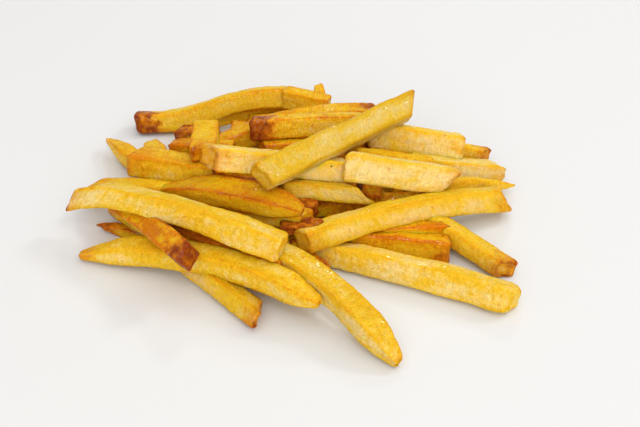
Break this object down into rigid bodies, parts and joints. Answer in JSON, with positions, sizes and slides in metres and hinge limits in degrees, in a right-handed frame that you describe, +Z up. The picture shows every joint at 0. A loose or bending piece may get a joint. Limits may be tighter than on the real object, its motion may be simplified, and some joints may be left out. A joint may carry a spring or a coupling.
{
  "type": "french fries portion",
  "caption": "Loose heap of hand-cut french fries, golden with browned ends, as served in a portion.",
  "frame": {"origin": "on the surface that the heap lies on, under the middle of its bounding box", "axes": "+X along the heap's longest side, +Y to its far side, +Z up"},
  "size_m": [0.2032, 0.1902, 0.0426],
  "materials": {
    "fries": "fried potato: dry, lightly oiled, mottled cream to golden, browned at the ends"
  },
  "bodies": {
    "root": {"fries": "fries"}
  },
  "joints": []
}
